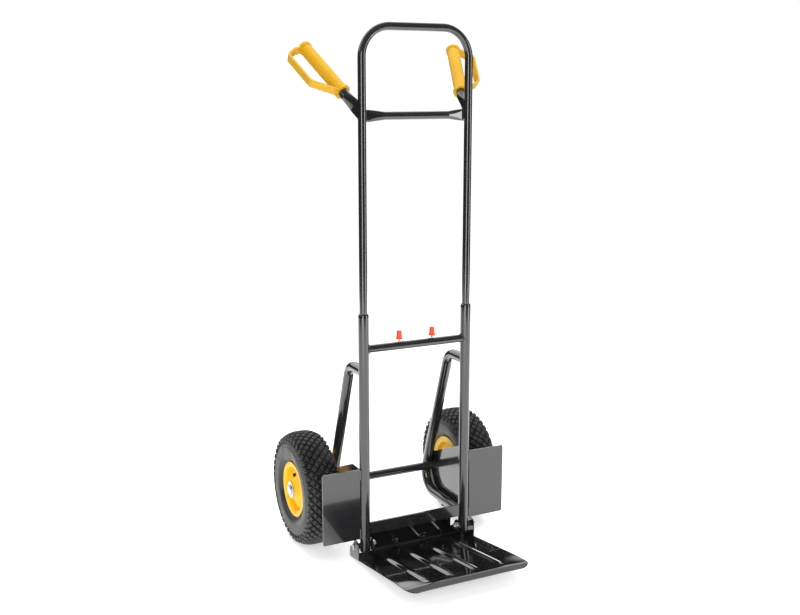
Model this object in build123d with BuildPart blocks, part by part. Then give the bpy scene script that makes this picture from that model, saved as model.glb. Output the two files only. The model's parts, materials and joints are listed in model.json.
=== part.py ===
from build123d import *
import os
from math import cos, degrees, pi, radians, sin, tan

# Two-wheeled hand truck with a telescopic hoop, a folding toe plate and pneumatic wheels.
# +Z is up, -Y is the side of the toe plate; left is -X, as seen from that side.
# The origin is on the ground, under the centre of the whole truck.

os.makedirs("parts", exist_ok=True)

# ---- Fits -------------------------------------------------------------------------------------
running_gap = 0.05          # radial play of a pin in its hole or a leg in its bush
free_gap = 0.3              # between faces that pass or lie near each other without a fit
weld_sink = 0.4             # depth of the saddle where the axle tube meets a wheel arm
SIDES = (("left", -1), ("right", 1))

# ---- Tubes of the lower frame and the hoop -------------------------------------------------------
tube_spacing = 249.0        # between the centres of the two uprights
tube_r, tube_wall = 11.5, 1.5
hoop_r, hoop_wall = 8.5, 1.5
bar_r, bar_wall = 8.5, 1.5
foot_z = 25.0               # lower end of the uprights
tube_top_z = 560.0
hoop_top_z = 1151.0         # centre of the hoop's top run
hoop_bend_r = 62.0
upper_bar_z = 972.0
mid_bar_z = 482.0
hoop_travel = 368.0
leg_overlap = 22.0          # how far the hoop legs reach below the catch pins
tx = tube_spacing / 2
tube_bore = tube_r - tube_wall
leg_foot_z = mid_bar_z - leg_overlap

# ---- Wheels ------------------------------------------------------------------------------------
tyre_r = 130.0
tyre_half_width = 42.5
wheel_x = 200.4             # centre plane of each wheel
axle_setback = 157.0        # axle centre behind the uprights
axle_z = tyre_r
axle_r = 8.0
axle_tube_r = 9.5
flange_r = 63.2             # rim flange
flange_face = 33.5          # from the wheel's centre plane to the rim flange's outer face
bead_r = 51.0
hub_in, hub_out = 31.0, 37.0    # hub ends, from the wheel's centre plane
hub_r = 15.0
bush_r = 10.0
rim_wall = 3.0
screw_count, screw_ring, screw_r, tower_r = 4, 33.0, 2.5, 5.0
screw_head_r, screw_head_h = 4.2, 3.5
valve_ring = 34.0           # valve from the wheel's centre

# ---- Toe plate ---------------------------------------------------------------------------------
plate_half = 147.0
plate_t = 2.5
heel_back = 33.0            # heel edge behind the uprights
plate_reach = 243.0         # crease of the front lip ahead of the uprights
plate_rise = 8.6            # degrees, towards the front
lip_run, lip_drop = 13.0, 5.5
plate_corner_r = 22.0
rib_x, rib_half, rib_h = (-88.0, -29.3, 29.3, 88.0), 8.0, 2.5
rib_start, rib_len, rib_taper = 10.0, 256.0, 38.0   # start from the heel edge, along the plate; taper in degrees
boss_x, boss_z, boss_r, boss_hole_r = 35.0, 15.0, 8.0, 3.5
flange_h = 46.0
pivot_z = 36.0
pivot_r = 4.0
ear_r = 14.5
inner_ear_x = 109.0         # inner face of the inner ears

# ---- Catch of the hoop ---------------------------------------------------------------------------
pin_r = 4.0
knob_x = 40.0
catch_travel = 8.0
slug_half = 11.0
stem_r = 2.0
knob_r, knob_z0, knob_h = 6.2, 497.0, 18.0

# ---- Grips ---------------------------------------------------------------------------------------
grip_at = (140.3, 59.4, 1019.0)     # centre of the grip's collar, from the uprights' plane
grip_dir = Vector(0.27, 0.74, 0.62).normalized()
grip_len = 152.0
grip_r = 14.0
arm_r, arm_wall = 11.0, 1.5
guard_reach = 48.0
guard_roll = 19.0
strap_t, strap_w = 4.5, 18.0

# The toe plate reaches forward and the tyres reach back; the origin is midway.
plate_front = plate_reach + lip_run
fy = (plate_front - axle_setback - tyre_r) / 2
axle_y = fy + axle_setback


def save(piece, name):
    piece.part.label = name
    export_step(piece.part, f"parts/{name}.step")


def along_x(x, y, z, sign=1):
    """Plane at a point, with its normal along X."""
    return Plane(origin=(x, y, z), x_dir=(0, sign, 0), z_dir=(sign, 0, 0))


# ==== Uprights: round tube, its top swaged in over the guide bush ==================================
neck_len, neck_in = 8.0, 1.6
neck_bore = hoop_r + free_gap
for side, s in SIDES:
    with BuildPart() as frame_tube:
        with BuildSketch(Plane.XZ):
            with BuildLine():
                Polyline((tube_bore, foot_z), (tube_r, foot_z), (tube_r, tube_top_z - neck_len))
                TangentArc((tube_r, tube_top_z - neck_len), (tube_r - neck_in, tube_top_z), tangent=(0, 1))
                Polyline((tube_r - neck_in, tube_top_z), (neck_bore, tube_top_z),
                         (neck_bore, tube_top_z - neck_len), (tube_bore, tube_top_z - neck_len),
                         (tube_bore, foot_z))
            make_face()
        revolve(axis=Axis.Z)
        with Locations((0, 0, pivot_z)):
            Cylinder(pivot_r + running_gap, 3 * tube_r, rotation=(0, 90, 0), mode=Mode.SUBTRACT)
        with Locations((-s * tube_r, 0, mid_bar_z)):
            Cylinder(pin_r + running_gap, tube_r, rotation=(0, 90, 0), mode=Mode.SUBTRACT)
    frame_tube.part.position = (s * tx, fy, 0)
    save(frame_tube, f"{side}_frame_tube")

    # Guide bush, pressed into the top of the tube; the hoop leg runs in it.
    bush_len = 36.0
    with BuildPart() as guide_bush:
        with BuildSketch(Plane.XY.offset(tube_top_z - neck_len - bush_len)):
            with Locations((s * tx, fy)):
                Circle(tube_bore)
                Circle(hoop_r + running_gap, mode=Mode.SUBTRACT)
        extrude(amount=bush_len)
    save(guide_bush, f"{side}_guide_bush")

    # Plastic foot plug: a disc under the tube and a spigot in its bore, below the pivot bolt.
    plug_disc, plug_spigot = 3.5, 5.0
    with BuildPart() as foot_plug:
        with BuildSketch(Plane.XY.offset(foot_z - plug_disc)):
            with Locations((s * tx, fy)):
                Circle(tube_r)
        extrude(amount=plug_disc)
        chamfer(foot_plug.edges().group_by(Axis.Z)[0], 1.0)
        with BuildSketch(Plane.XY.offset(foot_z)):
            with Locations((s * tx, fy)):
                Circle(tube_bore)
        extrude(amount=plug_spigot)
    save(foot_plug, f"{side}_foot_plug")


def upright(x, radius=tube_r):
    """A private cylinder that stands where an upright stands, to cope the bars that meet it."""
    cutter = Cylinder(radius, 2 * hoop_top_z, mode=Mode.PRIVATE)
    return Pos(x, fy, 0) * cutter


# ==== Middle crossbar: a tube coped to the uprights, with a slot over each catch pin ===============
with BuildPart() as mid_crossbar:
    with BuildSketch(along_x(-tx, fy, mid_bar_z)):
        Circle(bar_r)
        Circle(bar_r - bar_wall, mode=Mode.SUBTRACT)
    extrude(amount=tube_spacing)
    for side, s in SIDES:
        add(upright(s * tx), mode=Mode.SUBTRACT)
        slot_out = knob_x + stem_r + 0.5
        slot_in = knob_x - catch_travel - stem_r - 0.5
        with BuildSketch(Plane.XY.offset(mid_bar_z)):
            with Locations((s * (slot_out + slot_in) / 2, fy)):
                SlotOverall(slot_out - slot_in, 2 * stem_r + 1.0)
        extrude(amount=2 * bar_r, mode=Mode.SUBTRACT)
save(mid_crossbar, "mid_crossbar")

# ==== Wheel arms: bent tubes from the uprights back, down past the axle and forward to the foot =====
arm_top_z, arm_low_z = 432.0, 65.5
arm_slope = 19.3            # degrees from the vertical
arm_bends = (38.0, 45.0)
# The long run lies against the back of the axle tube; this is where it would meet the top run.
arm_behind_axle = (tube_r + axle_tube_r - weld_sink) / cos(radians(arm_slope))
knee_y = axle_setback + arm_behind_axle - (arm_top_z - axle_z) * tan(radians(arm_slope))
wheel_arms = []
heel_run_y = knee_y + (arm_top_z - arm_low_z) * tan(radians(arm_slope))
for side, s in SIDES:
    with BuildPart() as wheel_arm:
        with BuildLine() as route:
            FilletPolyline((s * tx, fy, arm_top_z), (s * tx, fy + knee_y, arm_top_z),
                           (s * tx, fy + heel_run_y, arm_low_z), (s * tx, fy, arm_low_z),
                           radius=arm_bends)
        with BuildSketch(Plane(origin=route.line @ 0, z_dir=route.line % 0)):
            Circle(tube_r)
            Circle(tube_bore, mode=Mode.SUBTRACT)
        sweep()
        add(upright(s * tx), mode=Mode.SUBTRACT)
        # Past the upright's far side nothing of the arm may be left.
        with Locations((s * tx, fy - tube_r, tube_top_z / 2)):
            Box(4 * tube_r, 2 * tube_r, tube_top_z, mode=Mode.SUBTRACT)
    save(wheel_arm, f"{side}_wheel_arm")
    wheel_arms.append(wheel_arm.part)

# ==== Foot crossbar: a flat bar on edge between the uprights ========================================
foot_bar_z, foot_bar_h, foot_bar_t = 60.0, 27.0, 5.0
with BuildPart() as foot_crossbar:
    with BuildSketch(Plane.XY.offset(foot_bar_z)):
        with Locations((0, fy)):
            Rectangle(tube_spacing - 2 * tube_r + 2, foot_bar_t)
    extrude(amount=foot_bar_h)
    for side, s in SIDES:
        add(upright(s * tx), mode=Mode.SUBTRACT)
    for arm in wheel_arms:
        add(arm, mode=Mode.SUBTRACT)
save(foot_crossbar, "foot_crossbar")

# ==== Axle: a tube welded to the front of the arms, and the rod inside it ===========================
axle_tube_half = wheel_x - hub_in - free_gap
cap_t, cap_dome_r, cap_dome_h, cap_r = 1.6, 11.0, 4.6, 19.0
cap_x = wheel_x + hub_out + free_gap
rod_half = cap_x + cap_t + 2.0
with BuildPart() as axle_tube:
    with BuildSketch(along_x(-axle_tube_half, axle_y, axle_z)):
        Circle(axle_tube_r)
        Circle(axle_r + running_gap, mode=Mode.SUBTRACT)
    extrude(amount=2 * axle_tube_half)
    for arm in wheel_arms:
        add(arm, mode=Mode.SUBTRACT)
save(axle_tube, "axle_tube")

with BuildPart() as axle_rod:
    with BuildSketch(along_x(-rod_half, axle_y, axle_z)):
        Circle(axle_r)
    extrude(amount=2 * rod_half)
    chamfer(axle_rod.edges().filter_by(GeomType.CIRCLE), 1.0)
save(axle_rod, "axle_rod")

# Push-on cap that holds each wheel on the rod: a flat flange and a hollow dome over the rod's end.
for side, s in SIDES:
    with BuildPart() as hub_cap:
        with BuildSketch(along_x(s * cap_x, axle_y, axle_z, s)):
            Circle(cap_r)
        extrude(amount=cap_t)
        with BuildSketch(along_x(s * cap_x, axle_y, axle_z, s)):
            Circle(cap_dome_r)
        extrude(amount=cap_t + cap_dome_h)
        outer_faces = hub_cap.edges().filter_by(GeomType.CIRCLE).group_by(Axis.X)
        fillet(outer_faces[-1 if s > 0 else 0], 2.5)
        with BuildSketch(along_x(s * cap_x, axle_y, axle_z, s)):
            Circle(axle_r)
        extrude(amount=cap_dome_h, mode=Mode.SUBTRACT)
    save(hub_cap, f"{side}_hub_cap")

# ==== Wheel guards: sheet bent round a vertical edge, beside each upright ===========================
guard_t = 2.0
guard_z0, guard_z1 = 54.0, 216.0
guard_out_x = 226.0
flap_front = 5.0            # front face of the flap, ahead of the uprights' centres
panel_x = tx + tube_r + 0.2
panel_flat = 36.0           # length of the panel's level top edge
bend_r = 4.0
weld_len, weld_r = 22.0, 2.4
panel_back = ((112.0, guard_z0), (160.0, 78.0), (185.0, 124.0), (175.0, 157.0), (panel_flat, guard_z1))
for side, s in SIDES:
    with BuildPart() as wheel_guard:
        # The flap, seen from above: it stands across the truck, ahead of the tyre.
        with BuildSketch(Plane.XZ.offset(flap_front - fy)):
            with Locations((s * (guard_out_x + panel_x) / 2, (guard_z0 + guard_z1) / 2)):
                RectangleRounded(guard_out_x - panel_x, guard_z1 - guard_z0, bend_r)
            with Locations((s * (panel_x + bend_r), (guard_z0 + guard_z1) / 2)):
                Rectangle(2 * bend_r, guard_z1 - guard_z0)
        extrude(amount=-guard_t)
        # The side panel stands along the truck, against the upright and the wheel arm.
        with BuildSketch(Plane.YZ.offset(s * panel_x)):
            with BuildLine():
                Polyline((fy - flap_front, guard_z1), (fy - flap_front, guard_z0),
                         *[(fy + y, z) for y, z in panel_back], close=True)
            make_face()
            with Locations((axle_y, axle_z)):
                Circle(axle_tube_r + free_gap, mode=Mode.SUBTRACT)
        extrude(amount=s * guard_t)
        bend_edge = wheel_guard.edges().filter_by(Axis.Z).sort_by_distance(
            (s * panel_x, fy - flap_front, (guard_z0 + guard_z1) / 2))[0]
        fillet(bend_edge, guard_t * 0.9)
        # Two weld beads fill the groove between the bend and the upright, at the top and the bottom.
        for bead_z in (guard_z0 + 2, guard_z1 - weld_len - 2):
            with BuildSketch(Plane.XY.offset(bead_z)):
                with Locations((s * panel_x, fy - flap_front + 0.6)):
                    Circle(weld_r)
            extrude(amount=weld_len)
        add(upright(s * tx), mode=Mode.SUBTRACT)
    save(wheel_guard, f"{side}_wheel_guard")

# ==== Telescopic hoop: one tube, bent twice, with the catch holes in its legs ========================
with BuildPart() as hoop:
    with BuildLine() as route:
        FilletPolyline((-tx, fy, leg_foot_z), (-tx, fy, hoop_top_z), (tx, fy, hoop_top_z),
                       (tx, fy, leg_foot_z), radius=hoop_bend_r)
    with BuildSketch(Plane.XY.offset(leg_foot_z)):
        with Locations((-tx, fy)):
            Circle(hoop_r)
            Circle(hoop_r - hoop_wall, mode=Mode.SUBTRACT)
    sweep()
    for side, s in SIDES:
        for z in (mid_bar_z, mid_bar_z + hoop_travel):
            with Locations((s * (tx - hoop_r), fy, z)):
                Cylinder(pin_r + free_gap, hoop_r, rotation=(0, 90, 0), mode=Mode.SUBTRACT)
save(hoop, "handle_hoop")

for side, s in SIDES:
    # Plug in the foot of the hoop leg: its head runs in the upright's bore.
    head_h, spigot_h = 10.0, 14.0
    with BuildPart() as leg_plug:
        with BuildSketch(Plane.XY.offset(leg_foot_z - head_h)):
            with Locations((s * tx, fy)):
                Circle(tube_bore - running_gap)
        extrude(amount=head_h)
        chamfer(leg_plug.edges().group_by(Axis.Z)[0], 1.0)
        with BuildSketch(Plane.XY.offset(leg_foot_z)):
            with Locations((s * tx, fy)):
                Circle(hoop_r - hoop_wall)
        extrude(amount=spigot_h)
    save(leg_plug, f"{side}_leg_plug")

# ==== Upper crossbar: a tube whose ends are pressed flat and welded between the hoop's legs ==========
blade_h, blade_t = 24.5, 4.0
press_len, blade_len = 34.0, 8.0
round_half = tx - hoop_r - press_len - blade_len
with BuildPart() as upper_crossbar:
    with BuildSketch(along_x(-round_half, fy, upper_bar_z)):
        Circle(bar_r)
    extrude(amount=2 * round_half)
    for side, s in SIDES:
        with BuildSketch(along_x(s * round_half, fy, upper_bar_z, s)):
            Circle(bar_r)
        with BuildSketch(along_x(s * (round_half + press_len), fy, upper_bar_z, s)):
            Ellipse(blade_t / 2, blade_h / 2)
        loft()
        with BuildSketch(along_x(s * (round_half + press_len), fy, upper_bar_z, s)):
            Ellipse(blade_t / 2, blade_h / 2)
        extrude(amount=blade_len + hoop_r)
        add(upright(s * tx, hoop_r), mode=Mode.SUBTRACT)
        with Locations((s * tx, fy, upper_bar_z)):
            Box(2 * hoop_r - 2, 4 * bar_r, 2 * blade_h, mode=Mode.SUBTRACT)
    with BuildSketch(along_x(-round_half, fy, upper_bar_z)):
        Circle(bar_r - bar_wall)
    extrude(amount=2 * round_half, mode=Mode.SUBTRACT)
save(upper_crossbar, "upper_crossbar")

# ==== Grip arms and grips, behind the hoop's legs ====================================================
blade_w, arm_blade_t = 31.0, 4.0
for side, s in SIDES:
    collar = Vector(s * grip_at[0], fy + grip_at[1], grip_at[2])
    axis = Vector(s * grip_dir.X, grip_dir.Y, grip_dir.Z)
    level = Vector(-axis.Y, axis.X, 0).normalized()      # horizontal, across the arm

    def station(t):
        """Plane across the arm at t from the collar; its local x is horizontal."""
        return Plane(origin=collar + axis * t, x_dir=level, z_dir=axis)

    round_end, flat_end, root_end = -14.0, -42.0, -92.0
    with BuildPart() as grip_arm:
        with BuildSketch(station(round_end)):
            Circle(arm_r)
        extrude(amount=grip_len - 6.0 - round_end)
        with BuildSketch(station(round_end)):
            Circle(arm_r)
        with BuildSketch(station(flat_end)):
            Ellipse(arm_blade_t / 2, blade_w / 2)
        loft()
        with BuildSketch(station(flat_end)):
            Ellipse(arm_blade_t / 2, blade_w / 2)
        extrude(amount=root_end - flat_end)
        with BuildSketch(station(round_end)):
            Circle(arm_r - arm_wall)
        extrude(amount=grip_len - 6.0 - round_end, mode=Mode.SUBTRACT)
        add(upright(s * tx, hoop_r), mode=Mode.SUBTRACT)
        with Locations((s * tx, fy - 50.0, grip_at[2])):
            Box(100.0, 100.0, 400.0, mode=Mode.SUBTRACT)
    save(grip_arm, f"{side}_grip_arm")

    # Soft grip: sleeve, collar ring, end disc and a knuckle guard standing off one side.
    ring_r, ring_t, end_t, end_r = 17.0, 5.0, 7.0, 15.5
    up = axis.cross(level).normalized()
    if up.Z < 0:
        up = up * -1
    outward = level * (1 if level.X * s > 0 else -1)
    roll = radians(guard_roll)
    reach = outward * cos(roll) - up * sin(roll)
    with BuildPart() as grip:
        with BuildSketch(station(0)):
            Circle(grip_r)
        extrude(amount=grip_len)
        with BuildSketch(station(0)):
            Circle(ring_r)
        extrude(amount=ring_t)
        with BuildSketch(station(grip_len - end_t)):
            Circle(end_r)
        extrude(amount=end_t)
        guard_plane = Plane(origin=collar, x_dir=axis, z_dir=axis.cross(reach))
        with BuildSketch(guard_plane.offset(-strap_w / 2)):
            with BuildLine():
                FilletPolyline((ring_t, grip_r - strap_t), (50.0, guard_reach), (138.0, guard_reach),
                               (grip_len - strap_t, grip_r + 12.0), (grip_len - strap_t, 0.0),
                               radius=(16.0, 9.0, 8.0))
            trace(line_width=strap_t)
        extrude(amount=strap_w)
        with BuildSketch(station(-1)):
            Circle(arm_r)
        extrude(amount=grip_len - 5.0, mode=Mode.SUBTRACT)
    save(grip, f"{side}_grip")

# ==== Catch: a pin in each end of the middle crossbar, with its stem, knob and spring =================
block_half = 9.0
with BuildPart() as stop_block:
    with BuildSketch(along_x(-block_half, fy, mid_bar_z)):
        Circle(bar_r - bar_wall)
    extrude(amount=2 * block_half)
save(stop_block, "catch_stop_block")

for side, s in SIDES:
    slug_out = knob_x + slug_half
    tip_x = tx - hoop_r - free_gap
    with BuildPart() as catch_pin:
        with BuildSketch(along_x(s * (knob_x - slug_half), fy, mid_bar_z, s)):
            Circle(bar_r - bar_wall - running_gap)
        extrude(amount=2 * slug_half)
        with BuildSketch(along_x(s * slug_out, fy, mid_bar_z, s)):
            Circle(pin_r)
        extrude(amount=tip_x - slug_out)
        with Locations((s * knob_x, fy, mid_bar_z + bar_r / 2)):
            Cylinder(stem_r, bar_r, mode=Mode.SUBTRACT)
    save(catch_pin, f"{side}_catch_pin")

    knob_socket = 9.0
    with BuildPart() as catch_stem:
        with BuildSketch(Plane.XY.offset(mid_bar_z)):
            with Locations((s * knob_x, fy)):
                Circle(stem_r)
        extrude(amount=knob_z0 + knob_socket - mid_bar_z)
    save(catch_stem, f"{side}_catch_stem")

    with BuildPart() as catch_knob:
        with BuildSketch(Plane.XY.offset(knob_z0)):
            with Locations((s * knob_x, fy)):
                Circle(knob_r + 1.0)
        extrude(amount=3.0)
        with BuildSketch(Plane.XY.offset(knob_z0 + 3.0)):
            with Locations((s * knob_x, fy)):
                Circle(knob_r)
        extrude(amount=knob_h - 3.0, taper=3)
        fillet(catch_knob.edges().group_by(Axis.Z)[-1], 1.5)
        with BuildSketch(Plane.XY.offset(knob_z0)):
            with Locations((s * knob_x, fy)):
                Circle(stem_r)
        extrude(amount=knob_socket, mode=Mode.SUBTRACT)
    save(catch_knob, f"{side}_catch_knob")

    coil_r, wire_r, turns = 5.2, 0.7, 6
    coil_x = s * (block_half + wire_r + free_gap)
    coil_len = knob_x - slug_half - block_half - 2 * (wire_r + free_gap)
    with BuildPart() as catch_spring:
        with BuildLine() as coil:
            Helix(pitch=coil_len / turns, height=coil_len, radius=coil_r,
                  center=(coil_x, fy, mid_bar_z), direction=(s, 0, 0))
        with BuildSketch(Plane(origin=coil.line @ 0, z_dir=coil.line % 0)):
            Circle(wire_r)
        sweep(is_frenet=True)
    save(catch_spring, f"{side}_catch_spring")

# ==== Toe plate: one pressing with ribs, a front lip, a rear flange and four ears ====================
rise = radians(plate_rise)
heel_y = fy + heel_back
crease_y, crease_z = fy - plate_reach, (heel_back + plate_reach) * tan(rise)
skin = plate_t / cos(rise)
outer_ear_x = plate_half - plate_t
plate_plane = Plane(origin=(0, heel_y, skin), x_dir=(1, 0, 0), z_dir=(0, sin(rise), cos(rise)))
with BuildPart() as toe_plate:
    with BuildSketch(Plane.YZ.offset(-plate_half)):
        with BuildLine():
            Polyline((heel_y, 0), (crease_y, crease_z), (crease_y - lip_run, crease_z - lip_drop),
                     (crease_y - lip_run, crease_z - lip_drop + skin), (crease_y, crease_z + skin),
                     (heel_y - plate_t, skin + plate_t * tan(rise)), (heel_y - plate_t, flange_h), (heel_y, flange_h), close=True)
        make_face()
    extrude(amount=2 * plate_half)
    # The flange stands between the two inner ears.
    for s in (-1, 1):
        with Locations((s * plate_half, heel_y, skin + flange_h)):
            Box(2 * (plate_half - inner_ear_x), 3 * plate_t, 2 * flange_h, mode=Mode.SUBTRACT)
    # The outline from above, with round front corners.
    with BuildSketch(Plane.XY.offset(-1)):
        depth = heel_y - (crease_y - lip_run)
        with Locations((0, heel_y - depth / 2 + plate_corner_r)):
            RectangleRounded(2 * plate_half, depth + 2 * plate_corner_r, plate_corner_r)
    extrude(amount=crease_z + 2 * flange_h, mode=Mode.INTERSECT)
    # Raised ribs.
    with BuildSketch(plate_plane):
        for x in rib_x:
            with Locations(Location((x, -rib_start - rib_len / 2, 0), 90)):
                SlotOverall(rib_len, 2 * rib_half)
    extrude(amount=rib_h, taper=rib_taper)
    # Ears: the outer pair turned up from the side edges, the inner pair welded beside the uprights.
    for s in (-1, 1):
        for x in (outer_ear_x, inner_ear_x):
            with BuildSketch(Plane.YZ.offset(min(s * x, s * (x + plate_t)))):
                with BuildLine():
                    Polyline((fy - ear_r, pivot_z), (fy - ear_r, (heel_back + ear_r) * tan(rise) + skin / 2),
                             (heel_y, skin / 2), (heel_y, 24.0),
                             (fy + ear_r, pivot_z + 2.0))
                    ThreePointArc((fy + ear_r, pivot_z + 2.0), (fy, pivot_z + ear_r), (fy - ear_r, pivot_z))
                make_face()
            extrude(amount=plate_t)
    # Two round bosses on the flange, each with a hole.
    for x in (-boss_x, boss_x):
        with Locations((x, heel_y - plate_t, boss_z)):
            Cylinder(boss_r, 2 * plate_t, rotation=(90, 0, 0))
            Cylinder(boss_hole_r, 6 * plate_t, rotation=(90, 0, 0), mode=Mode.SUBTRACT)
    with Locations((0, fy, pivot_z)):
        Cylinder(pivot_r + running_gap, 3 * plate_half, rotation=(0, 90, 0), mode=Mode.SUBTRACT)
save(toe_plate, "toe_plate")

# ==== Pivot hardware of the toe plate, one set at each foot ==========================================
washer_r, washer_t, head_af, head_h, nut_h = 8.0, 1.2, 13.0, 5.3, 6.5
for side, s in SIDES:
    outer_face = plate_half + free_gap
    inner_face = inner_ear_x - free_gap
    shank_end = inner_face - washer_t - nut_h - 2.0
    with BuildPart() as pivot_bolt:
        with BuildSketch(along_x(s * (outer_face + washer_t), fy, pivot_z, s)):
            RegularPolygon(head_af / 2, 6, major_radius=False)
        extrude(amount=head_h)
        with BuildSketch(along_x(s * shank_end, fy, pivot_z, s)):
            Circle(pivot_r)
        extrude(amount=outer_face + washer_t - shank_end)
    save(pivot_bolt, f"{side}_pivot_bolt")

    with BuildPart() as pivot_nut:
        with BuildSketch(along_x(s * (inner_face - washer_t - nut_h), fy, pivot_z, s)):
            RegularPolygon(head_af / 2, 6, major_radius=False)
            Circle(pivot_r, mode=Mode.SUBTRACT)
        extrude(amount=nut_h)
    save(pivot_nut, f"{side}_pivot_nut")

    # Washers beside the ears, and the two spacer sleeves between the ears and the upright.
    with BuildPart() as pivot_washers:
        for x in (outer_face, inner_face - washer_t):
            with BuildSketch(along_x(s * x, fy, pivot_z, s)):
                Circle(washer_r)
                Circle(pivot_r, mode=Mode.SUBTRACT)
            extrude(amount=washer_t)
    save(pivot_washers, f"{side}_pivot_washers")

    with BuildPart() as pivot_spacers:
        inner_start = inner_ear_x + plate_t + free_gap
        outer_end = outer_ear_x - free_gap
        with BuildSketch(along_x(s * inner_start, fy, pivot_z, s)):
            Circle(pivot_r + 2.5)
            Circle(pivot_r, mode=Mode.SUBTRACT)
        extrude(amount=outer_end - inner_start)
        add(upright(s * tx), mode=Mode.SUBTRACT)
    save(pivot_spacers, f"{side}_pivot_spacers")

# ==== Wheels: tyre, inner tube, two rim halves, screws, bushes and valve =============================
tube_mid_r, tube_a, tube_b = 91.0, 33.0, 30.0
tyre_low_r = bead_r + 0.2
for side, s in SIDES:
    def wheel_part(piece, name):
        """Put a piece made about the X axis, outer side at +X, on its wheel and save it."""
        if s < 0:
            piece.part = piece.part.mirror(Plane.YZ)
        piece.part.position = (s * wheel_x, axle_y, axle_z)
        save(piece, f"{side}_{name}")

    with BuildPart() as tyre:
        with BuildSketch(Plane.XY):
            with BuildLine():
                lip_x = flange_face - 2.4
                shoulder = (tyre_half_width * 0.86, tyre_r - 9.0)
                waist = (tyre_half_width, tyre_r - 32.0)
                Polyline((-lip_x, tyre_low_r), (lip_x, tyre_low_r), (lip_x, flange_r + 2.0),
                         (flange_face + 3.0, flange_r + 8.0))
                ThreePointArc((flange_face + 3.0, flange_r + 8.0), waist, shoulder)
                ThreePointArc(shoulder, (0, tyre_r), (-shoulder[0], shoulder[1]))
                ThreePointArc((-shoulder[0], shoulder[1]), (-waist[0], waist[1]),
                              (-flange_face - 3.0, flange_r + 8.0))
                Polyline((-flange_face - 3.0, flange_r + 8.0), (-lip_x, flange_r + 2.0),
                         (-lip_x, tyre_low_r))
            make_face()
            with Locations((0, tube_mid_r)):
                Ellipse(tube_a, tube_b, mode=Mode.SUBTRACT)
            with Locations((0, (tyre_low_r + tube_mid_r) / 2 - 5)):
                Rectangle(2 * (lip_x - 9.0), tube_mid_r - tyre_low_r + 10, mode=Mode.SUBTRACT)
        revolve(axis=Axis.X)
    wheel_part(tyre, "tyre")

    with BuildPart() as inner_tube:
        with BuildSketch(Plane.XY):
            with Locations((0, tube_mid_r)):
                Ellipse(tube_a - free_gap, tube_b - free_gap)
                Ellipse(tube_a - 2.0, tube_b - 2.0, mode=Mode.SUBTRACT)
        revolve(axis=Axis.X)
    wheel_part(inner_tube, "inner_tube")

    # Rim halves meet on the centre plane: barrel, flange, dished web and hub.
    web_x, web_t = 20.0, 4.0
    for half, h, hub_end in (("outer", 1, hub_out), ("inner", -1, hub_in)):
        with BuildPart() as rim:
            with BuildSketch(Plane.XY):
                with BuildLine():
                    Polyline((0, bead_r - rim_wall), (h * web_x, bead_r - rim_wall), (h * web_x, hub_r),
                             (0, hub_r), (0, bush_r), (h * hub_end, bush_r), (h * hub_end, hub_r),
                             (h * (web_x + web_t), hub_r + 3.0),
                             (h * (web_x + web_t), bead_r - rim_wall - 3.0),
                             (h * flange_face, bead_r - 1.0), (h * flange_face, flange_r),
                             (h * (flange_face - 2.2), flange_r), (h * (flange_face - 2.2), bead_r),
                             (0, bead_r), close=True)
                make_face()
            revolve(axis=Axis.X)
            # Four screw towers inside, on the centre plane.
            for k in range(screw_count):
                angle = 2 * pi * (k + 0.5) / screw_count
                spot = (h * web_x / 2, screw_ring * cos(angle), screw_ring * sin(angle))
                with Locations(spot):
                    Cylinder(tower_r, web_x, rotation=(0, 90, 0))
                bored = web_x + 2 * web_t + 2 if h < 0 else web_x
                with Locations(spot):
                    Cylinder(screw_r + (running_gap if h < 0 else 0), bored, rotation=(0, 90, 0),
                             mode=Mode.SUBTRACT)
            if h > 0:
                # Hole for the valve, through the web.
                with Locations((web_x, 0, valve_ring)):
                    Cylinder(5.0, 4 * web_t, rotation=(0, 90, 0), mode=Mode.SUBTRACT)
        wheel_part(rim, f"rim_{half}")

    with BuildPart() as rim_screws:
        for k in range(screw_count):
            angle = 2 * pi * (k + 0.5) / screw_count
            with BuildSketch(Plane.YZ.offset(-web_x - web_t)):
                with Locations((screw_ring * cos(angle), screw_ring * sin(angle))):
                    Circle(screw_r)
            extrude(amount=2 * web_x + web_t - 0.5)
            with BuildSketch(Plane.YZ.offset(-web_x - web_t)):
                with Locations((screw_ring * cos(angle), screw_ring * sin(angle))):
                    Circle(screw_head_r)
            extrude(amount=-screw_head_h)
    wheel_part(rim_screws, "rim_screws")

    with BuildPart() as hub_bushes:
        for start, end in ((-hub_in, -hub_in + 22.0), (hub_out - 22.0, hub_out)):
            with BuildSketch(Plane.YZ.offset(start)):
                Circle(bush_r)
                Circle(axle_r + running_gap, mode=Mode.SUBTRACT)
            extrude(amount=end - start)
    wheel_part(hub_bushes, "hub_bushes")

    # Valve: a bent stem from the inner tube, through the barrel gap and the web, with a cap.
    with BuildPart() as valve:
        with BuildSketch(Plane.YZ.offset(web_x - 6.0)):
            with Locations((0, valve_ring)):
                Circle(3.0)
        extrude(amount=14.0)
        with BuildSketch(Plane.YZ.offset(web_x + 4.0)):
            with Locations((0, valve_ring)):
                Circle(4.0)
        extrude(amount=8.0)
    wheel_part(valve, "valve")
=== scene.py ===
# %% [markdown]
# # A hand truck, built on its engineering frame
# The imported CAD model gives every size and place. Each visible piece is worked out again here as
# a smooth surface, with the bends, welds, tread and mould marks that the real object shows, and
# rides on the CAD body it belongs to.

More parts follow.
